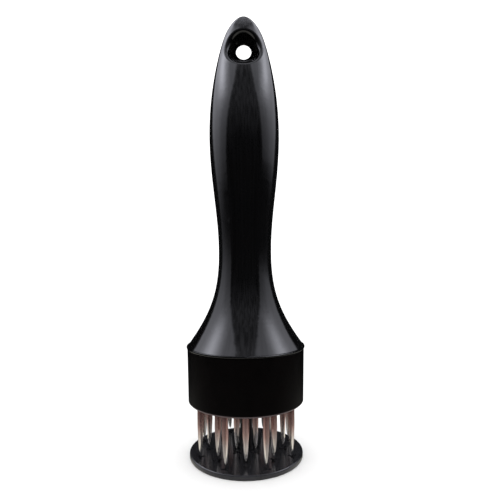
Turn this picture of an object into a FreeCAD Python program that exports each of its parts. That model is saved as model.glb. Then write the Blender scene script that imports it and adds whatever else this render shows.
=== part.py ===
import FreeCAD, Part
import math
import os
from FreeCAD import Vector

# Blade meat tenderizer: a spindle handle over a collar that holds a pack of three-edged blades,
# and a sprung guard plate that rises over the blades when the tool is pressed down.
# Millimetres. Z is up along the tool's axis, and z = 0 is the underside of the guard plate.
# The hanging hole runs along Y, so the front of the tool faces -Y.

# Guard plate, a little smaller than the collar's foot
PLATE_SETBACK = 0.4
PLATE_T = 2.2
PLATE_EDGE_R = 0.5

# Travel of the guard, from its rest to just under the collar
STROKE = 22.0
END_CLEAR = 0.4
REST_CLEAR = 0.1

# Collar: a sleeve that tapers slightly towards its foot, with a ledge inside
COLLAR_H = 23.6
COLLAR_R = 26.0
COLLAR_TAPER = 0.4
COLLAR_WALL = 2.0
COLLAR_BEVEL = 0.45
LEDGE_DEPTH = 0.95
LEDGE_T = 2.4

# One blade: its lancet curve is drawn towards a point and a lancet width at heights above the tip
BLADE_ARM = 1.45
BLADE_T = 0.66
BLADE_ROOT_R = 0.3
BLADE_TIP_GAP = 1.9
BLADE_TIP_R = 0.25
BLADE_POINT_H = 1.6
BLADE_POINT_R = 1.0
BLADE_LANCET_H = 6.0
BLADE_LANCET_R = 1.2
BLADE_TAPER_H = 12.0
HEAD_OVER = 0.5
HEAD_H = 1.0
SLOT_CLEAR = 0.06
PLATE_HOLE_CLEAR = 0.35
PLATE_HOLE_END_CLEAR = 0.6

# Three rings of blades: room to the collar's bore, to the next ring and to the bush, numbers and first angles
OUTER_EDGE = 2.3
OUTER_COUNT = 8
OUTER_ANGLE = 22.5
MIDDLE_STEP = 4.7
MIDDLE_COUNT = 8
MIDDLE_ANGLE = 0.0
INNER_EDGE = 1.5
INNER_COUNT = 4
INNER_ANGLE = 45.0

# Carrier that the blades hang in, and the plate that clamps their heads
CARRIER_T = 6.0
CLAMP_T = 2.0
PACK_CLEAR = 0.1
CLAMP_SCREW_COUNT = 4
CLAMP_SCREW_ANGLE = 22.5
CLAMP_SCREW_R = 1.3
CLAMP_SCREW_L = 6.0
CLAMP_HEAD_R = 2.4
CLAMP_HEAD_H = 1.5

# Guide bush, and the post that runs in it
POST_R = 2.75
POST_FLAT = 2.35
RUN_CLEAR = 0.06
BUSH_WALL = 1.6
BUSH_FLANGE_R = 7.0
BUSH_FLANGE_T = 1.5
STOP_DISC_R = 7.4
STOP_DISC_T = 2.0
STOP_SPIGOT_R = 2.0
SCREW_R = 1.2
THREAD_CLEAR = 0.04
STOP_SCREW_L = 9.0
STOP_HEAD_R = 2.6
STOP_HEAD_H = 1.7
PLATE_SCREW_L = 10.0
PLATE_SCREW_HEAD_R = 2.5
PLATE_SCREW_SINK = 0.15
SCREW_POINT_R = 0.3
SCREW_POINT_H = 1.0
SCREW_END_ROOM = 0.5
PAN_ROUND = 0.6
DRIVE_LENGTH = 2.6
DRIVE_WIDTH = 0.6
DRIVE_DEPTH = 0.7

# Return spring, at its fitted length
SPRING_R = 6.5
SPRING_WIRE_R = 0.5
SPRING_LENGTH = 46.0
SPRING_COIL_COUNT = 11
SPRING_END_COUNT = 1
SPRING_END_GAP = 0.05
WASHER_R = 8.0
WASHER_HOLE_R = 4.0
WASHER_T = 0.8

# Handle: heights are measured from the collar's top
HANDLE_H = 148.5
LIP_H = 1.0
LIP_OVER = 0.35
LIP_ROUND = 0.35
FLARE_STEP = 0.6
NECK_R = 11.83
BULB_R = 15.62
FLARE_STATIONS = [
    # height, share of the way from the neck's radius out to the flare's rim
    (LIP_H, 1.0),
    (7.3, 0.6875),
    (14.8, 0.386),
    (25.8, 0.109),
]
GRIP_STATIONS = [
    # height, half width, half depth
    (38.8, NECK_R, NECK_R),
    (55.8, 12.45, 12.45),
    (73.8, 14.4, 14.4),
    (92.8, BULB_R, BULB_R),
    (109.8, 14.85, 13.8),
    (123.8, 12.75, 10.0),
    (135.8, 9.8, 6.3),
    (144.0, 6.05, 4.0),
    (HANDLE_H, 0.0, 0.0),
]
HANDLE_WALL = 3.0
SPIGOT_WALL = 2.9
SPRING_BORE_R = 8.2
CORE_R = 6.8
CORE_TOP_R = 6.0
CORE_TOP_H = 108.0
RIB_COUNT = 6
RIB_T = 1.6
RIB_CLEAR = 5.0

# Hanging hole: a thin round waist that opens into a bowl on each side
HOLE_H = 132.4
HOLE_R = 3.5
HOLE_WAIST = 1.2
BOWL_DEPTH = 4.7
BOWL_R = 6.9
BOWL_MOUTH_DEPTH = 11.6
BOWL_MOUTH_R = 9.7
BOWL_RIM_ROUND = 1.6

# How far a cutting shape runs past the face that it cuts
CUT_OVER = 1.0

# Radii that follow from the sizes above
COLLAR_FOOT_R = COLLAR_R - COLLAR_TAPER
COLLAR_BORE_R = COLLAR_FOOT_R - COLLAR_WALL
LEDGE_R = COLLAR_BORE_R - LEDGE_DEPTH
PLATE_R = COLLAR_FOOT_R - PLATE_SETBACK
BUSH_R = POST_R + RUN_CLEAR + BUSH_WALL
PACK_R = COLLAR_BORE_R - PACK_CLEAR
OUTER_R = COLLAR_BORE_R - OUTER_EDGE
MIDDLE_R = OUTER_R - MIDDLE_STEP
INNER_R = BUSH_R + INNER_EDGE
CLAMP_SCREW_RING_R = (MIDDLE_R + INNER_R) / 2
HEAD_ARM = BLADE_ARM + HEAD_OVER
LIP_R = COLLAR_R + LIP_OVER
FLARE_R = LIP_R - FLARE_STEP
RINGS = [
    # name, ring radius, blades, angle of the first blade, 180 for one arm inward or 0 for one outward
    ("outer", OUTER_R, OUTER_COUNT, OUTER_ANGLE, 180.0),
    ("middle", MIDDLE_R, MIDDLE_COUNT, MIDDLE_ANGLE, 180.0),
    ("inner", INNER_R, INNER_COUNT, INNER_ANGLE, 0.0),
]
FLARE = [(h, NECK_R + share * (FLARE_R - NECK_R)) for h, share in FLARE_STATIONS]
HANDLE_STATIONS = [(h, r, r) for h, r in FLARE] + GRIP_STATIONS

# Heights that follow from the sizes above
COLLAR_Z = PLATE_T + STROKE + END_CLEAR
COLLAR_TOP_Z = COLLAR_Z + COLLAR_H
LEDGE_Z = COLLAR_Z + LEDGE_T
CARRIER_TOP_Z = LEDGE_Z + CARRIER_T
CLAMP_TOP_Z = CARRIER_TOP_Z + CLAMP_T
BUSH_TOP_Z = CLAMP_TOP_Z + BUSH_FLANGE_T
STOP_Z = BUSH_TOP_Z + REST_CLEAR
STOP_TOP_Z = STOP_Z + STOP_DISC_T
SPRING_TOP_Z = STOP_TOP_Z + SPRING_LENGTH
SHOULDER_Z = SPRING_TOP_Z + WASHER_T
BLADE_TIP_Z = PLATE_T + BLADE_TIP_GAP
HOLE_Z = COLLAR_TOP_Z + HOLE_H


def cylinder(radius, z0, z1, x=0.0, y=0.0):
    return Part.makeCylinder(radius, z1 - z0, Vector(x, y, z0))


def ring(outer, inner, z0, z1):
    return cylinder(outer, z0, z1).cut(cylinder(inner, z0 - CUT_OVER, z1 + CUT_OVER))


def lathe(edges, axis=Vector(0, 0, 1)):
    """Solid turned from a closed outline."""
    return Part.Face(Part.Wire(edges)).revolve(Vector(0, 0, 0), axis, 360)


def outline(points):
    """Straight edges through points given as (radius, height)."""
    corners = [Vector(r, 0, z) for r, z in points]
    return Part.makePolygon(corners + corners[:1]).Edges


def polar(radius, degrees):
    angle = math.radians(degrees)
    return Vector(radius * math.cos(angle), radius * math.sin(angle), 0)


def even_angles(count, first=0.0):
    return [first + 360.0 * i / count for i in range(count)]


def blade_places():
    """Name, place and turn of every blade, where one arm of each points straight in or out."""
    places = []
    for name, radius, count, first, facing in RINGS:
        for i, angle in enumerate(even_angles(count, first)):
            places.append(("blade_%s_%d" % (name, i + 1), polar(radius, angle), angle + facing))
    return places


def three_arms(arm, thick, z0, z1, root=0.0):
    """Prism with three flat arms at equal angles, the first along +X, rounded where they meet."""
    h = thick / 2
    corner = h / math.sin(math.radians(60))
    points = []
    for turn in even_angles(3):
        for place in (polar(corner, -60), Vector(arm, -h, 0), Vector(arm, h, 0)):
            points.append(FreeCAD.Rotation(Vector(0, 0, 1), turn).multVec(place) + Vector(0, 0, z0))
    prism = Part.Face(Part.makePolygon(points + points[:1])).extrude(Vector(0, 0, z1 - z0))
    if root > 0:
        inner = [e for e in prism.Edges if is_upright(e) and reach(e) < corner + 0.01]
        prism = prism.makeFillet(root, inner)
    return prism


def is_upright(edge):
    ends = [v.Point for v in edge.Vertexes]
    return len(ends) == 2 and (ends[0] - ends[1]).cross(Vector(0, 0, 1)).Length < 1e-6


def reach(edge):
    point = edge.Vertexes[0].Point
    return math.hypot(point.x, point.y)


def placed(shape, place, turn):
    moved = shape.copy()
    moved.rotate(Vector(0, 0, 0), Vector(0, 0, 1), turn)
    moved.translate(place)
    return moved


def make_blade():
    """One blade on the axis: a three-armed strip ground to a lancet point, with shoulders at its head."""
    z_shoulder = CARRIER_TOP_Z - HEAD_H
    strip = three_arms(BLADE_ARM, BLADE_T, BLADE_TIP_Z, z_shoulder, BLADE_ROOT_R)
    point = strip.common(lancet(z_shoulder))
    head = three_arms(HEAD_ARM, BLADE_T, z_shoulder, CARRIER_TOP_Z, BLADE_ROOT_R)
    return point.fuse(head).removeSplitter()


def lancet(z_top):
    """Turned shape that the strip is ground to, from a rounded tip out to the corners of its arms."""
    full_r = math.hypot(BLADE_ARM, BLADE_T / 2)
    z_round = BLADE_TIP_Z + BLADE_TIP_R
    z_taper = BLADE_TIP_Z + BLADE_TAPER_H
    slant = BLADE_TIP_R * math.sqrt(0.5)
    tip_ball = Part.Arc(
        Vector(0, 0, BLADE_TIP_Z), Vector(slant, 0, z_round - slant), Vector(BLADE_TIP_R, 0, z_round),
    ).toShape()
    edge = Part.BezierCurve()
    edge.setPoles([
        Vector(BLADE_TIP_R, 0, z_round),
        Vector(BLADE_POINT_R, 0, BLADE_TIP_Z + BLADE_POINT_H),
        Vector(BLADE_LANCET_R, 0, BLADE_TIP_Z + BLADE_LANCET_H),
        Vector(full_r, 0, z_taper),
    ])
    sides = Part.makePolygon([
        Vector(full_r, 0, z_taper), Vector(full_r, 0, z_top), Vector(0, 0, z_top), Vector(0, 0, BLADE_TIP_Z),
    ]).Edges
    return lathe([tip_ball, edge.toShape()] + sides)


def make_guard_plate():
    plate = cylinder(PLATE_R, 0, PLATE_T)
    rims = [e for e in plate.Edges if isinstance(e.Curve, Part.Circle)]
    plate = plate.makeFillet(PLATE_EDGE_R, rims)
    thick = BLADE_T + 2 * PLATE_HOLE_CLEAR
    hole = three_arms(BLADE_ARM + PLATE_HOLE_END_CLEAR, thick, -CUT_OVER, PLATE_T + CUT_OVER)
    tips = [e for e in hole.Edges if is_upright(e) and reach(e) > BLADE_ARM]
    hole = hole.makeFillet(PLATE_HOLE_CLEAR, tips)
    holes = [placed(hole, place, turn) for _, place, turn in blade_places()]
    holes.append(cylinder(SCREW_R + THREAD_CLEAR, -CUT_OVER, PLATE_T + CUT_OVER))
    return plate.cut(Part.makeCompound(holes)).cut(plate_screw_sink())


def plate_screw_sink():
    """Countersink for the screw that holds the plate to the post."""
    edge = PLATE_SCREW_HEAD_R + THREAD_CLEAR
    shank = SCREW_R + THREAD_CLEAR
    z_low = PLATE_SCREW_SINK
    z_high = z_low + edge - shank
    sink = lathe(outline([(0, z_low), (edge, z_low), (shank, z_high), (0, z_high)]))
    return sink.fuse(cylinder(edge, -CUT_OVER, z_low))


def make_plate_screw():
    z_low = PLATE_SCREW_SINK
    cone_top = z_low + PLATE_SCREW_HEAD_R - SCREW_R
    end = z_low + PLATE_SCREW_L
    screw = lathe(outline([
        (0, z_low),
        (PLATE_SCREW_HEAD_R, z_low),
        (SCREW_R, cone_top),
        (SCREW_R, end - SCREW_POINT_H),
        (SCREW_POINT_R, end),
        (0, end),
    ]))
    return screw.cut(cross_drive(z_low, 1))


def cross_drive(z, upward):
    """Cross-shaped recess cut upward (1) or downward (-1) from a screw head's face at z."""
    low = z - CUT_OVER if upward > 0 else z - DRIVE_DEPTH
    corner = Vector(-DRIVE_LENGTH / 2, -DRIVE_WIDTH / 2, low)
    arm = Part.makeBox(DRIVE_LENGTH, DRIVE_WIDTH, DRIVE_DEPTH + CUT_OVER, corner)
    return arm.fuse(placed(arm, Vector(0, 0, 0), 90))


def flatted_bar(radius, flat, z0, z1):
    """Round bar with a flat on its front and its back, which keeps it from turning."""
    slab = Part.makeBox(2 * radius, 2 * flat, z1 - z0, Vector(-radius, -flat, z0))
    return cylinder(radius, z0, z1).common(slab)


def make_guide_post():
    post = flatted_bar(POST_R, POST_FLAT, PLATE_T, STOP_Z)
    post = post.fuse(cylinder(STOP_SPIGOT_R, STOP_Z, STOP_TOP_Z))
    thread_r = SCREW_R + THREAD_CLEAR
    post = post.cut(cylinder(thread_r, 0, PLATE_SCREW_SINK + PLATE_SCREW_L + SCREW_END_ROOM))
    return post.cut(cylinder(thread_r, STOP_TOP_Z - STOP_SCREW_L - SCREW_END_ROOM, STOP_TOP_Z + CUT_OVER))


def make_stop_disc():
    """Disc on top of the post: it rests on the bush at the bottom of the travel and carries the spring."""
    return ring(STOP_DISC_R, STOP_SPIGOT_R + THREAD_CLEAR, STOP_Z, STOP_TOP_Z)


def pan_screw(z_seat, shank_r, length, head_r, head_h):
    """Pan-head screw that points down from its seat."""
    low = z_seat - length
    z_point = low + SCREW_POINT_H
    body = lathe(outline([
        (0, low), (SCREW_POINT_R, low), (shank_r, z_point), (shank_r, z_seat), (0, z_seat),
    ]))
    head = cylinder(head_r, z_seat, z_seat + head_h)
    top_rim = [e for e in head.Edges if isinstance(e.Curve, Part.Circle) and e.Curve.Center.z > z_seat]
    head = head.makeFillet(PAN_ROUND * head_h, top_rim)
    return body.fuse(head).cut(cross_drive(z_seat + head_h, -1))


def make_guide_bush():
    bush = cylinder(BUSH_R, LEDGE_Z, BUSH_TOP_Z)
    bush = bush.fuse(cylinder(BUSH_FLANGE_R, CLAMP_TOP_Z, BUSH_TOP_Z))
    way = flatted_bar(POST_R + RUN_CLEAR, POST_FLAT + RUN_CLEAR, LEDGE_Z - CUT_OVER, BUSH_TOP_Z + CUT_OVER)
    return bush.cut(way)


def make_blade_carrier():
    carrier = ring(PACK_R, BUSH_R + PACK_CLEAR, LEDGE_Z, CARRIER_TOP_Z)
    thick = BLADE_T + 2 * SLOT_CLEAR
    z_over = CARRIER_TOP_Z + CUT_OVER
    slot = three_arms(BLADE_ARM + SLOT_CLEAR, thick, LEDGE_Z - CUT_OVER, z_over)
    slot = slot.fuse(three_arms(HEAD_ARM + SLOT_CLEAR, thick, CARRIER_TOP_Z - HEAD_H, z_over))
    cuts = [placed(slot, place, turn) for _, place, turn in blade_places()]
    z_deep = CLAMP_TOP_Z - CLAMP_SCREW_L - SCREW_END_ROOM
    for place in clamp_screw_places():
        cuts.append(cylinder(CLAMP_SCREW_R + THREAD_CLEAR, z_deep, z_over, place.x, place.y))
    return carrier.cut(Part.makeCompound(cuts))


def clamp_screw_places():
    return [polar(CLAMP_SCREW_RING_R, angle) for angle in even_angles(CLAMP_SCREW_COUNT, CLAMP_SCREW_ANGLE)]


def make_blade_clamp():
    clamp = ring(PACK_R, BUSH_R + PACK_CLEAR, CARRIER_TOP_Z, CLAMP_TOP_Z)
    z_low = CARRIER_TOP_Z - CUT_OVER
    z_high = CLAMP_TOP_Z + CUT_OVER
    hole_r = CLAMP_SCREW_R + PACK_CLEAR
    holes = [cylinder(hole_r, z_low, z_high, place.x, place.y) for place in clamp_screw_places()]
    return clamp.cut(Part.makeCompound(holes))


def make_clamp_screws():
    screw = pan_screw(CLAMP_TOP_Z, CLAMP_SCREW_R, CLAMP_SCREW_L, CLAMP_HEAD_R, CLAMP_HEAD_H)
    return Part.makeCompound([placed(screw, place, 0) for place in clamp_screw_places()])


def make_collar():
    """Tapered sleeve with bevelled ends and a ledge that the carrier stands on."""
    bevel = COLLAR_BEVEL
    return lathe(outline([
        (LEDGE_R, COLLAR_Z),
        (COLLAR_FOOT_R - bevel, COLLAR_Z),
        (COLLAR_FOOT_R, COLLAR_Z + bevel),
        (COLLAR_R, COLLAR_TOP_Z - bevel),
        (COLLAR_R - bevel, COLLAR_TOP_Z),
        (COLLAR_BORE_R, COLLAR_TOP_Z),
        (COLLAR_BORE_R, LEDGE_Z),
        (LEDGE_R, LEDGE_Z),
    ]))


def make_spring():
    """Wire wound round the axis, close-wound for a turn at each end, at its fitted length."""
    low = STOP_TOP_Z + SPRING_WIRE_R
    high = SPRING_TOP_Z - SPRING_WIRE_R
    close_rise = 2 * SPRING_WIRE_R + SPRING_END_GAP
    turns = SPRING_COIL_COUNT + 2 * SPRING_END_COUNT
    open_rise = (high - low - 2 * SPRING_END_COUNT * close_rise) / SPRING_COIL_COUNT
    steps = 12
    points = []
    for i in range(turns * steps + 1):
        turn = i / steps
        closed_low = min(turn, SPRING_END_COUNT)
        closed_high = max(turn - SPRING_END_COUNT - SPRING_COIL_COUNT, 0)
        z = low + close_rise * (closed_low + closed_high) + open_rise * (turn - closed_low - closed_high)
        points.append(polar(SPRING_R, 360.0 * turn) + Vector(0, 0, z))
    path = Part.BSplineCurve()
    path.interpolate(points)
    section = Part.Wire(Part.Circle(points[0], path.tangent(0)[0], SPRING_WIRE_R).toShape())
    return Part.Wire(path.toShape()).makePipeShell([section], True, True)


def make_spring_washer():
    return ring(WASHER_R, WASHER_HOLE_R, SPRING_TOP_Z, SHOULDER_Z)


def half_spline(points, params):
    """Curve through points that end on the axis, where it meets its own mirror image level."""
    end = params[-1]
    mirrored = [Vector(-p.x, 0, p.z) for p in reversed(points[:-1])]
    mirrored_params = [2 * end - t for t in reversed(params[:-1])]
    curve = Part.BSplineCurve()
    curve.interpolate(Points=points + mirrored, Parameters=params + mirrored_params)
    curve.segment(params[0], end)
    return curve


def handle_skin():
    """Closed solid with oval sections, whose width and depth follow the handle's stations."""
    widths = [Vector(w, 0, COLLAR_TOP_Z + h) for h, w, _ in HANDLE_STATIONS]
    depths = [Vector(d, 0, COLLAR_TOP_Z + h) for h, _, d in HANDLE_STATIONS]
    params = [0.0]
    for a, b in zip(widths, widths[1:]):
        params.append(params[-1] + (b - a).Length)
    width = half_spline(widths, params)
    depth = half_spline(depths, params)
    round_poles = [(1, 0), (1, 1), (0, 1), (-1, 1), (-1, 0), (-1, -1), (0, -1), (1, -1), (1, 0)]
    corner = math.sqrt(0.5)
    poles = []
    weights = []
    for i, (cx, cy) in enumerate(round_poles):
        poles.append([Vector(cx * w.x, cy * d.x, w.z) for w, d in zip(width.getPoles(), depth.getPoles())])
        weights.append([corner if i % 2 else 1.0] * width.NbPoles)
    skin = Part.BSplineSurface()
    skin.buildFromPolesMultsKnots(
        poles, [3, 2, 2, 2, 3], width.getMultiplicities(), [0, 1, 2, 3, 4], width.getKnots(),
        False, False, 2, width.Degree, weights,
    )
    side = skin.toShape()
    foot = max(side.Edges, key=lambda e: e.Length if e.BoundBox.ZLength < 1e-6 else 0)
    base = Part.Face(Part.Wire(foot))
    if base.normalAt(0, 0).z > 0:
        base.reverse()
    return Part.Solid(Part.makeShell([side, base]))


def handle_hollow():
    """Room inside the handle, open at its foot, that follows the outside at one wall's thickness."""
    spigot_in = PACK_R - SPIGOT_WALL
    first = Vector(spigot_in, 0, COLLAR_TOP_Z + HANDLE_WALL)
    inside = [first] + [Vector(r - HANDLE_WALL, 0, COLLAR_TOP_Z + h) for h, r in FLARE[1:]]
    flare = Part.BSplineCurve()
    flare.interpolate(inside)
    top = inside[-1]
    z_low = CLAMP_TOP_Z - CUT_OVER
    sides = Part.makePolygon([
        top, Vector(0, 0, top.z), Vector(0, 0, z_low), Vector(spigot_in, 0, z_low), first,
    ]).Edges
    return lathe([flare.toShape()] + sides)


def hanging_hole():
    """Waist and two bowls, turned about the hole's own axis along Y."""
    half = HOLE_WAIST / 2
    bowl = Part.BSplineCurve()
    bowl.interpolate([
        Vector(HOLE_R, half, 0), Vector(BOWL_R, BOWL_DEPTH, 0), Vector(BOWL_MOUTH_R, BOWL_MOUTH_DEPTH, 0),
    ])
    rest = Part.makePolygon([
        Vector(BOWL_MOUTH_R, BOWL_MOUTH_DEPTH, 0),
        Vector(0, BOWL_MOUTH_DEPTH, 0),
        Vector(0, 0, 0),
        Vector(HOLE_R, 0, 0),
        Vector(HOLE_R, half, 0),
    ]).Edges
    back = lathe([bowl.toShape()] + rest, axis=Vector(0, 1, 0))
    front = back.mirror(Vector(0, 0, 0), Vector(0, 1, 0))
    hole = back.fuse(front)
    hole.translate(Vector(0, 0, HOLE_Z))
    return hole


def make_handle():
    skin = handle_skin()
    lip = cylinder(LIP_R, COLLAR_TOP_Z, COLLAR_TOP_Z + LIP_H)
    lip = lip.makeFillet(LIP_ROUND, [e for e in lip.Edges if isinstance(e.Curve, Part.Circle)])
    spigot = cylinder(PACK_R, CLAMP_TOP_Z, COLLAR_TOP_Z + LIP_H / 2)
    hollow = handle_hollow()
    z_rib = CLAMP_TOP_Z + RIB_CLEAR
    rib = Part.makeBox(LIP_R, RIB_T, SHOULDER_Z - z_rib, Vector(0, -RIB_T / 2, z_rib))
    for angle in even_angles(RIB_COUNT):
        hollow = hollow.cut(placed(rib, Vector(0, 0, 0), angle))
    bore = cylinder(SPRING_BORE_R, CLAMP_TOP_Z - CUT_OVER, SHOULDER_Z)
    body = skin.fuse(lip).fuse(spigot)
    body = body.cut(hollow).cut(bore).cut(handle_core())
    body = body.cut(hanging_hole())
    return round_bowl_rims(body)


def handle_core():
    """Round core that hollows the upper handle, with a coned end."""
    z_low = SHOULDER_Z - CUT_OVER
    z_high = COLLAR_TOP_Z + CORE_TOP_H
    return lathe(outline([(0, z_low), (CORE_R, z_low), (CORE_TOP_R, z_high - CORE_TOP_R), (0, z_high)]))


def round_bowl_rims(body):
    """Rounds the two rims where the bowls break through the handle's skin."""
    rims = []
    for edge in body.Edges:
        box = edge.BoundBox
        spans_hole = box.ZMin < HOLE_Z - HOLE_R < HOLE_Z + HOLE_R < box.ZMax < body.BoundBox.ZMax - CUT_OVER
        if spans_hole and box.YMin * box.YMax > 0 and box.YLength > HOLE_WAIST:
            rims.append(edge)
    return body.makeFillet(BOWL_RIM_ROUND, rims)


def main():
    os.makedirs("parts", exist_ok=True)
    parts = {
        "guard_plate": make_guard_plate(),
        "plate_screw": make_plate_screw(),
        "guide_post": make_guide_post(),
        "stop_disc": make_stop_disc(),
        "stop_screw": pan_screw(STOP_TOP_Z, SCREW_R, STOP_SCREW_L, STOP_HEAD_R, STOP_HEAD_H),
        "guide_bush": make_guide_bush(),
        "blade_carrier": make_blade_carrier(),
        "blade_clamp": make_blade_clamp(),
        "clamp_screws": make_clamp_screws(),
        "collar": make_collar(),
        "return_spring": make_spring(),
        "spring_washer": make_spring_washer(),
        "handle": make_handle(),
    }
    blade = make_blade()
    for name, place, turn in blade_places():
        parts[name] = placed(blade, place, turn)
    for name, shape in parts.items():
        shape.exportStep("parts/%s.step" % name)
        print(name, "solids", len(shape.Solids), "valid", shape.isValid(), "volume", round(shape.Volume, 1))


main()
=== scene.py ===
import math

import bpy
from mathutils import Matrix, Vector


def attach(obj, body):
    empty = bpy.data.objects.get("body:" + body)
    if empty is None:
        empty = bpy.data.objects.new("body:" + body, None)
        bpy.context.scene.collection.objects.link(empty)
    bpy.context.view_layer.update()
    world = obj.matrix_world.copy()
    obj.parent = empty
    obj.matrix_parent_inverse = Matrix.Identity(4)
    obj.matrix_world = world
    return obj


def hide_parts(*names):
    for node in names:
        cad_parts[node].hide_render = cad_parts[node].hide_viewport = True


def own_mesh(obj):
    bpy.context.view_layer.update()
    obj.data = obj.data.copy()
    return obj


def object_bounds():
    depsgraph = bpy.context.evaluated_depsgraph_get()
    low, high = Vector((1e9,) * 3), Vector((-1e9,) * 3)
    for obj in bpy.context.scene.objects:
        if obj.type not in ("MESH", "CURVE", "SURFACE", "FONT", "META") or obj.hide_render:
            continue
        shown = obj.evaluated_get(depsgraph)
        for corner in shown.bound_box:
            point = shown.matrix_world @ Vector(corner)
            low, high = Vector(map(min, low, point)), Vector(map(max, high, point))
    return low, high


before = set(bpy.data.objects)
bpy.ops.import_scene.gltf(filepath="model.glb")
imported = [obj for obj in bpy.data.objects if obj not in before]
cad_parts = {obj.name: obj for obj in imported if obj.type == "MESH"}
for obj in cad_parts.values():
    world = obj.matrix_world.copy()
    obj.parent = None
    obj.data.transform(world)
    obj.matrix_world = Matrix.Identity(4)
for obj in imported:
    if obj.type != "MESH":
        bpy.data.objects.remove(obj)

CAD_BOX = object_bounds()
SCENE = bpy.context.scene

# Photograph: its frame, the focal length in its pixels and how far down its middle line of sight lies
PHOTO_PX = 500
FOCAL_PX = 433.8
SIGHT_DROP_PX = 10.3
SENSOR_MM = 36.0
CAMERA_PLACE = Vector((0.00222, -0.1955, 0.0864))
CAMERA_PITCH = 0.0022
CAMERA_ROLL = -0.0069
CAMERA_CLIP = 0.01

# Side panels of the studio: degrees around from the front towards either side, and degrees of rise.
# An edge is a constant and its change with the rise, squared for the inner edge.
INNER_EDGE = (62.0, -0.0098)
OUTER_EDGE = (113.0, 0.7)
EDGE_SOFT = 4.0
AROUND_LEVELS = [(50, 0.45), (60, 0.5), (75, 0.65), (92, 1.0), (105, 0.95), (120, 0.85), (134, 0.8)]
PANEL_BASE = 0.45
PANEL_RISE = 0.042
PANEL_FOOT = (-5.0, 5.0)
RIGHT_FOOT_UP = 4.5
PANEL_HEAD = (56.0, 66.0)
RIGHT_SHARE = 0.82
LEFT_TO_RIGHT = (-0.1, 0.1)
GLOW = 3.6
GLOW_AT = (89.0, 42.0)
GLOW_SPREAD = (15.0, 6.5)
PANEL_TINT = (0.95, 0.96, 1.06)

# Room in front and overhead: its level by the share of a right angle that it rises
ROOM_LEVELS = [(0.0, 0.025), (0.15, 0.045), (0.28, 0.13), (0.42, 0.26), (0.6, 0.24), (0.7, 0.5),
               (0.85, 0.9), (1.0, 0.9)]
ROOM_SIDES = (140.0, 110.0)
ROOM_OVER_BACK = (45.0, 70.0)
BACK_LEVEL = 0.012
STREAK_STRETCH = (3.0, 3.0, 0.35)
STREAK_LEVELS = (0.6, 1.45)

# Floor as the tool's gloss sees it: its tint by the share of a half turn from the front to the back
LOW_LEVEL = 0.8
LOW_TINTS = [(0.0, (0.32, 0.30, 0.29)), (0.28, (0.54, 0.52, 0.495)), (0.42, (0.69, 0.66, 0.63)),
             (0.56, (0.98, 0.95, 0.87)), (0.78, (0.85, 0.82, 0.74)), (0.88, (0.15, 0.13, 0.12)),
             (1.0, (0.06, 0.05, 0.05))]
LOW_RISE = (-18.0, -22.0)
LOW_FADE_RISE = (-70.0, -45.0)
LOW_FADE = 0.2
PALE_RISE = (-24.0, -32.0)
PALE_TINT = (0.92, 0.90, 0.82)

# Soft white light that falls on everything
DIFFUSE_LEVEL = 1.45
WHITE = (1.0, 1.0, 1.0)
FLOOR_SIZE = 6.0

# Finishes: the darker and the lighter tone of each surface
GLOSS_TONES = ((0.0004, 0.0004, 0.0005), (0.0009, 0.0008, 0.0008))
COLLAR_TONES = ((0.0008, 0.0005, 0.0005), (0.0014, 0.0009, 0.0009))
CORE_TONES = ((0.0012, 0.0012, 0.0013), (0.0024, 0.0023, 0.0024))
PLATE_TONES = ((0.012, 0.012, 0.014), (0.020, 0.020, 0.023))
ACETAL_TONES = ((0.52, 0.50, 0.45), (0.62, 0.60, 0.55))
FLOOR_TONES = ((0.90, 0.90, 0.90), (0.93, 0.93, 0.93))
ZINC = (0.62, 0.63, 0.66)
SPRING_STEEL = (0.5, 0.5, 0.52)
STEEL_DARKER = 0.8
STEEL_ROUGH_RANGE = 0.15

# Collar's lower edge, painted paler as a highlight of its bevel, between two heights in metres
EDGE_HIGHLIGHT_HEIGHTS = (0.0251, 0.0254)
EDGE_HIGHLIGHT_TONE = (0.075, 0.058, 0.058)

# Blades: their tone painted from the points up (pale points and reddish-brown upper parts as painted
# reflection, darkest under the collar as painted shade), the painted shade deep in their grooves, and how
# metallic they are
BLADE_HEIGHTS = (0.004, 0.026)
BLADE_PAINTED_LIGHT_TONES = [(0.0, (0.98, 0.96, 0.90)), (0.25, (0.90, 0.83, 0.77)), (0.5, (0.58, 0.40, 0.36)),
               (0.78, (0.44, 0.27, 0.245)), (1.0, (0.20, 0.11, 0.105))]
GROOVE_SHADE_TONE = (0.05, 0.035, 0.033)
GROOVE_SHADE_REACH = 0.0014
GROOVE_SHADE_RANGE = (0.6, 0.97)
BLADE_METALLIC = 0.93

# Spring as it is fitted, in metres
SPRING_R = 0.0065
WIRE_R = 0.0005
SPRING_FOOT = 0.0386
SPRING_TOP = 0.0846
SPRING_COILS = 11
CLOSE_RISE = 0.00105
WIRE_SIDES = 12
TURN_STEPS = 24

# Sockets of a Mix node for colours
MIX_A = 6
MIX_B = 7
MIX_OUT = 2

BLADE_RINGS = ("blade_outer", "blade_middle", "blade_inner")
STEEL_NODES = ("blade_clamp", "clamp_screws", "stop_disc", "stop_screw", "plate_screw", "spring_washer")


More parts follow.
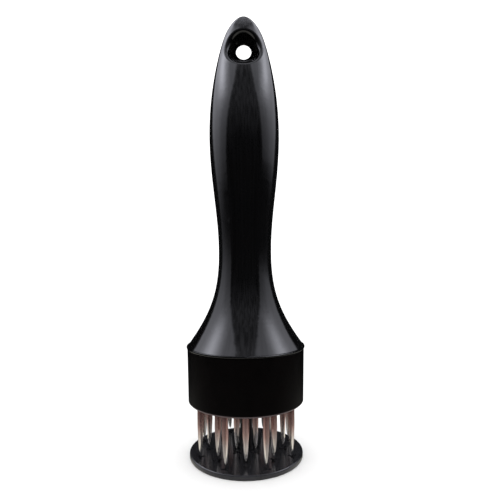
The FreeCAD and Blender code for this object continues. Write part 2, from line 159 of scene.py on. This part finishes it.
class Nodes:
    """Adds and links the nodes of one tree."""

    def __init__(self, tree):
        self.tree = tree

    def add(self, kind, **settings):
        node = self.tree.nodes.new(kind)
        for key, value in settings.items():
            setattr(node, key, value)
        return node

    def link(self, source, target):
        self.tree.links.new(source, target)

    def put(self, value, socket):
        """Sets a number or a colour on a socket, or links another node's output to it."""
        if isinstance(value, (int, float)):
            socket.default_value = value
        elif isinstance(value, tuple):
            socket.default_value = (*value, 1.0)
        else:
            self.link(value, socket)

    def math(self, operation, a, b=None):
        node = self.add("ShaderNodeMath", operation=operation)
        self.put(a, node.inputs[0])
        if b is not None:
            self.put(b, node.inputs[1])
        return node.outputs[0]

    def remap(self, value, low, high, to_low=0.0, to_high=1.0, smooth=True):
        node = self.add("ShaderNodeMapRange", interpolation_type="SMOOTHSTEP" if smooth else "LINEAR")
        self.link(value, node.inputs["Value"])
        node.inputs["From Min"].default_value = low
        node.inputs["From Max"].default_value = high
        node.inputs["To Min"].default_value = to_low
        node.inputs["To Max"].default_value = to_high
        return node.outputs["Result"]

    def ramp(self, value, stops):
        """Colours or grey levels along a value."""
        node = self.add("ShaderNodeValToRGB")
        ramp = node.color_ramp
        ramp.interpolation = "LINEAR"
        while len(ramp.elements) < len(stops):
            ramp.elements.new(1.0)
        for element, (place, tone) in zip(ramp.elements, stops):
            element.position = place
            element.color = (*tone, 1.0) if isinstance(tone, tuple) else (tone, tone, tone, 1.0)
        self.link(value, node.inputs["Fac"])
        return node.outputs["Color"]

    def mix(self, factor, a, b):
        node = self.add("ShaderNodeMix", data_type="RGBA")
        self.link(factor, node.inputs["Factor"])
        self.put(a, node.inputs[MIX_A])
        self.put(b, node.inputs[MIX_B])
        return node.outputs[MIX_OUT]

    def coordinates(self, kind):
        """The x, y and z outputs of the object's own or the world's coordinates."""
        split = self.add("ShaderNodeSeparateXYZ")
        self.link(self.add("ShaderNodeTexCoord").outputs[kind], split.inputs["Vector"])
        return split.outputs

    def noise(self, scale, detail=3.0, stretch=(1.0, 1.0, 1.0)):
        mapping = self.add("ShaderNodeMapping")
        mapping.inputs["Scale"].default_value = stretch
        self.link(self.add("ShaderNodeTexCoord").outputs["Object"], mapping.inputs["Vector"])
        node = self.add("ShaderNodeTexNoise")
        node.inputs["Scale"].default_value = scale
        node.inputs["Detail"].default_value = detail
        self.link(mapping.outputs["Vector"], node.inputs["Vector"])
        return node.outputs["Fac"]

    def patches(self, noise, tones, low=0.3, high=0.75):
        """Slow change between a darker and a lighter tone."""
        return self.ramp(noise, [(low, tones[0]), (high, tones[1])])

    def background(self, tint, level):
        node = self.add("ShaderNodeBackground")
        self.put(tint, node.inputs["Color"])
        self.put(level, node.inputs["Strength"])
        return node.outputs[0]


def new_material(name):
    """Empty material: itself, the helper for its nodes, and its principled shader."""
    material = bpy.data.materials.new(name)
    material.use_nodes = True
    return material, Nodes(material.node_tree), material.node_tree.nodes["Principled BSDF"]


def add_bump(nodes, shader, height, distance):
    bump = nodes.add("ShaderNodeBump")
    bump.inputs["Distance"].default_value = distance
    bump.inputs["Strength"].default_value = 1.0
    nodes.link(height, bump.inputs["Height"])
    nodes.link(bump.outputs["Normal"], shader.inputs["Normal"])


def gloss_plastic():
    """Polished black moulding: slow waviness, a faint haze and fine handling marks."""
    material, nodes, shader = new_material("handle_gloss_black")
    nodes.link(nodes.patches(nodes.noise(55.0, 4.0), GLOSS_TONES), shader.inputs["Base Color"])
    haze = nodes.remap(nodes.noise(120.0, 5.0, (1.0, 1.0, 0.35)), 0.35, 0.75, 0.07, 0.11)
    marks = nodes.remap(nodes.noise(900.0, 2.0, (1.0, 1.0, 0.06)), 0.66, 0.74, 0.0, 0.04)
    nodes.link(nodes.math("ADD", haze, marks), shader.inputs["Roughness"])
    shader.inputs["IOR"].default_value = 1.5
    add_bump(nodes, shader, nodes.noise(90.0, 2.0), 0.00004)
    return material


def satin_plastic(name, tones, rough, specular, edge_highlight=False):
    """Fine-textured black moulding, with or without a painted highlight along its lower edge."""
    material, nodes, shader = new_material(name)
    tone = nodes.patches(nodes.noise(140.0, 5.0), tones)
    if edge_highlight:
        # Painted highlight: a paler tone is drawn in the band between two heights at the lower edge
        height = nodes.coordinates("Object")["Z"]
        tone = nodes.mix(nodes.remap(height, *EDGE_HIGHLIGHT_HEIGHTS, 1.0, 0.0), tone, EDGE_HIGHLIGHT_TONE)
    nodes.link(tone, shader.inputs["Base Color"])
    haze = nodes.remap(nodes.noise(260.0, 4.0), 0.3, 0.75, rough, rough + 0.06)
    nodes.link(haze, shader.inputs["Roughness"])
    shader.inputs["Specular IOR Level"].default_value = specular
    add_bump(nodes, shader, nodes.noise(2600.0, 2.0), 0.000008)
    return material


def blade_steel():
    """Rolled stainless strip: lengthwise drawing lines, painted shade in the grooves, and a painted
    reflection by height that makes the ground point paler and the upper parts reddish-brown, darkest under
    the collar as painted shade.
    """
    material, nodes, shader = new_material("blade_steel")
    height = nodes.remap(nodes.coordinates("Object")["Z"], *BLADE_HEIGHTS, smooth=False)
    # Painted shade: ambient occlusion darkens the concave corners between the blade's arms
    groove_shade = nodes.add("ShaderNodeAmbientOcclusion", samples=8, only_local=True)
    groove_shade.inputs["Distance"].default_value = GROOVE_SHADE_REACH
    unshaded = nodes.remap(groove_shade.outputs["AO"], *GROOVE_SHADE_RANGE)
    # Base colour: tones painted by height as reflection and shade, with the painted groove shade mixed in
    nodes.link(nodes.mix(unshaded, GROOVE_SHADE_TONE, nodes.ramp(height, BLADE_PAINTED_LIGHT_TONES)), shader.inputs["Base Color"])
    shader.inputs["Metallic"].default_value = BLADE_METALLIC
    lines = nodes.noise(2400.0, 3.0, (1.0, 1.0, 0.03))
    nodes.link(nodes.remap(lines, 0.3, 0.7, 0.10, 0.20), shader.inputs["Roughness"])
    add_bump(nodes, shader, lines, 0.000012)
    return material


def plain_steel(name, tone, rough):
    """Drawn or pressed steel for the inner pieces, with fine lines and a slightly uneven tone."""
    material, nodes, shader = new_material(name)
    darker = tuple(STEEL_DARKER * share for share in tone)
    nodes.link(nodes.patches(nodes.noise(400.0, 4.0), (darker, tone), high=0.7), shader.inputs["Base Color"])
    shader.inputs["Metallic"].default_value = 1.0
    lines = nodes.noise(1800.0, 2.0, (1.0, 1.0, 0.1))
    nodes.link(nodes.remap(lines, 0.3, 0.7, rough, rough + STEEL_ROUGH_RANGE), shader.inputs["Roughness"])
    add_bump(nodes, shader, lines, 0.00001)
    return material


def bush_plastic():
    """Natural acetal of the guide bush."""
    material, nodes, shader = new_material("bush_acetal")
    nodes.link(nodes.patches(nodes.noise(300.0, 4.0), ACETAL_TONES, high=0.7), shader.inputs["Base Color"])
    nodes.link(nodes.remap(nodes.noise(500.0), 0.3, 0.7, 0.35, 0.5), shader.inputs["Roughness"])
    add_bump(nodes, shader, nodes.noise(2200.0, 2.0), 0.00001)
    return material


def dress(node, material):
    """Gives a carried-over node its finish."""
    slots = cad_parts[node].material_slots
    if not slots:
        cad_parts[node].data.materials.append(material)
    for entry in slots:
        entry.material = material


def dress_all():
    core_black = satin_plastic("core_black", CORE_TONES, 0.30, 0.3)
    finishes = {
        "handle": gloss_plastic(),
        "collar": satin_plastic("collar_black", COLLAR_TONES, 0.30, 0.05, edge_highlight=True),
        "blade_carrier": core_black,
        "guide_post": core_black,
        "guard_plate": satin_plastic("plate_black", PLATE_TONES, 0.13, 0.5),
        "guide_bush": bush_plastic(),
        "return_spring": plain_steel("spring_steel", SPRING_STEEL, 0.3),
    }
    finishes.update(dict.fromkeys(STEEL_NODES, plain_steel("zinc_steel", ZINC, 0.25)))
    blades = [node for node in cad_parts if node.startswith(BLADE_RINGS)]
    finishes.update(dict.fromkeys(blades, blade_steel()))
    for node, material in finishes.items():
        dress(node, material)


def floor():
    """Plain pale floor under the tool."""
    material, nodes, shader = new_material("floor_white")
    nodes.link(nodes.patches(nodes.noise(3.0), FLOOR_TONES, high=0.7), shader.inputs["Base Color"])
    shader.inputs["Roughness"].default_value = 0.9
    shader.inputs["Specular IOR Level"].default_value = 0.0
    half = FLOOR_SIZE / 2
    z = CAD_BOX[0][2]
    corners = [(-half, -half, z), (half, -half, z), (half, half, z), (-half, half, z)]
    mesh = bpy.data.meshes.new("floor")
    mesh.from_pydata(corners, [], [(0, 1, 2, 3)])
    mesh.materials.append(material)
    plane = bpy.data.objects.new("floor", mesh)
    SCENE.collection.objects.link(plane)
    plane.visible_glossy = False


def panel_level(nodes, x, around, rise):
    """Level of the two side panels, which lean in over the tool, each with its lamp glowing through."""
    bend = nodes.math("MULTIPLY", nodes.math("MULTIPLY", rise, rise), INNER_EDGE[1])
    past_inner = nodes.math("SUBTRACT", around, nodes.math("ADD", bend, INNER_EDGE[0]))
    outer = nodes.math("ADD", nodes.math("MULTIPLY", rise, OUTER_EDGE[1]), OUTER_EDGE[0])
    foot_up = nodes.remap(x, *LEFT_TO_RIGHT, 0.0, RIGHT_FOOT_UP)
    masks = [
        nodes.remap(past_inner, -EDGE_SOFT, EDGE_SOFT),
        nodes.remap(nodes.math("SUBTRACT", outer, around), -EDGE_SOFT, EDGE_SOFT),
        nodes.remap(nodes.math("SUBTRACT", rise, foot_up), *PANEL_FOOT),
        nodes.remap(rise, *PANEL_HEAD, 1.0, 0.0),
        nodes.remap(x, *LEFT_TO_RIGHT, 1.0, RIGHT_SHARE),
    ]
    stops = [(degrees / 180.0, level) for degrees, level in AROUND_LEVELS]
    sideways = nodes.ramp(nodes.math("DIVIDE", around, 180.0), stops)
    level = nodes.math("ADD", nodes.math("MULTIPLY", rise, PANEL_RISE), PANEL_BASE)
    level = nodes.math("MULTIPLY", level, sideways)
    squares = []
    for value, centre, spread in zip((around, rise), GLOW_AT, GLOW_SPREAD):
        off = nodes.math("DIVIDE", nodes.math("SUBTRACT", value, centre), spread)
        squares.append(nodes.math("MULTIPLY", off, off))
    glow = nodes.math("EXPONENT", nodes.math("MULTIPLY", nodes.math("ADD", *squares), -0.5))
    level = nodes.math("ADD", level, nodes.math("MULTIPLY", glow, GLOW))
    for mask in masks:
        level = nodes.math("MULTIPLY", level, mask)
    return level


def room_level(nodes, around, rise):
    """Level of the dim room between the panels and overhead, with soft upright streaks."""
    level = nodes.ramp(nodes.remap(rise, 0.0, 90.0, smooth=False), ROOM_LEVELS)
    seen = nodes.math("MAXIMUM", nodes.remap(around, *ROOM_SIDES), nodes.remap(rise, *ROOM_OVER_BACK))
    level = nodes.math("ADD", nodes.math("MULTIPLY", level, seen), BACK_LEVEL)
    streaks = nodes.remap(nodes.noise(5.0, 1.0, STREAK_STRETCH), 0.3, 0.7, *STREAK_LEVELS)
    return nodes.math("MULTIPLY", level, streaks)


def floor_light(nodes, around, rise):
    """Light that comes up from the floor, tinted by its side and paler straight below."""
    level = nodes.math("MULTIPLY", nodes.remap(rise, *LOW_RISE, 0.0, LOW_LEVEL),
                       nodes.remap(rise, *LOW_FADE_RISE, LOW_FADE, 1.0))
    tint = nodes.ramp(nodes.math("DIVIDE", around, 180.0), LOW_TINTS)
    return nodes.background(nodes.mix(nodes.remap(rise, *PALE_RISE), tint, PALE_TINT), level)


def studio():
    """Studio that the tool's gloss reflects, and an even soft white that lights it."""
    world = bpy.data.worlds.new("studio")
    world.use_nodes = True
    world.cycles.sampling_method = "NONE"
    SCENE.world = world
    nodes = Nodes(world.node_tree)
    world.node_tree.nodes.clear()
    x, y, z = nodes.coordinates("Generated")
    side = nodes.math("ARCTAN2", nodes.math("ABSOLUTE", x), nodes.math("MULTIPLY", y, -1.0))
    around = nodes.math("MULTIPLY", side, math.degrees(1.0))
    rise = nodes.math("MULTIPLY", nodes.math("ARCSINE", z), math.degrees(1.0))
    level = nodes.math("ADD", panel_level(nodes, x, around, rise), room_level(nodes, around, rise))
    both = nodes.add("ShaderNodeAddShader")
    nodes.link(nodes.background(PANEL_TINT, level), both.inputs[0])
    nodes.link(floor_light(nodes, around, rise), both.inputs[1])
    mix = nodes.add("ShaderNodeMixShader")
    nodes.link(nodes.add("ShaderNodeLightPath").outputs["Is Glossy Ray"], mix.inputs["Fac"])
    nodes.link(nodes.background(WHITE, DIFFUSE_LEVEL), mix.inputs[1])
    nodes.link(both.outputs[0], mix.inputs[2])
    nodes.link(mix.outputs[0], nodes.add("ShaderNodeOutputWorld").inputs["Surface"])


def coil_points():
    """Points of the wire's surface, ring by ring, with one closed turn at each end."""
    turns = SPRING_COILS + 2
    low = SPRING_FOOT + WIRE_R
    high = SPRING_TOP - WIRE_R
    open_rise = (high - low - 2 * CLOSE_RISE) / SPRING_COILS
    points = []
    for i in range(turns * TURN_STEPS + 1):
        turn = i / TURN_STEPS
        closed = min(turn, 1) + max(turn - 1 - SPRING_COILS, 0)
        z = low + CLOSE_RISE * closed + open_rise * (turn - closed)
        angle = 2 * math.pi * turn
        out = Vector((math.cos(angle), math.sin(angle), 0))
        for j in range(WIRE_SIDES):
            a = 2 * math.pi * j / WIRE_SIDES
            points.append(out * (SPRING_R + WIRE_R * math.cos(a)) + Vector((0, 0, z + WIRE_R * math.sin(a))))
    return points


def spring():
    """Coil that takes the place of the plain one."""
    points = coil_points()
    last = len(points) - WIRE_SIDES
    faces = []
    for start in range(0, last, WIRE_SIDES):
        for j in range(WIRE_SIDES):
            k = (j + 1) % WIRE_SIDES
            faces.append((start + j, start + k, start + WIRE_SIDES + k, start + WIRE_SIDES + j))
    faces.append(tuple(range(WIRE_SIDES - 1, -1, -1)))
    faces.append(tuple(range(last, last + WIRE_SIDES)))
    mesh = bpy.data.meshes.new("spring_coil")
    mesh.from_pydata(points, [], faces)
    mesh.shade_smooth()
    mesh.materials.append(plain_steel("coil_steel", SPRING_STEEL, 0.3))
    coil = bpy.data.objects.new("spring_coil", mesh)
    SCENE.collection.objects.link(coil)
    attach(coil, "tool_body")
    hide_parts("return_spring")
    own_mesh(coil)


def camera():
    """Camera at the photograph's own place, turn and lens."""
    data = bpy.data.cameras.new("camera")
    data.sensor_width = SENSOR_MM
    data.lens = FOCAL_PX / PHOTO_PX * SENSOR_MM
    data.shift_y = SIGHT_DROP_PX / PHOTO_PX
    data.clip_start = CAMERA_CLIP
    item = bpy.data.objects.new("camera", data)
    turn = Matrix.Rotation(math.pi / 2 + CAMERA_PITCH, 4, "X") @ Matrix.Rotation(CAMERA_ROLL, 4, "Z")
    item.matrix_world = Matrix.Translation(CAMERA_PLACE) @ turn
    SCENE.collection.objects.link(item)
    SCENE.camera = item


dress_all()
floor()
spring()
studio()
camera()
SCENE.view_settings.view_transform = "Standard"
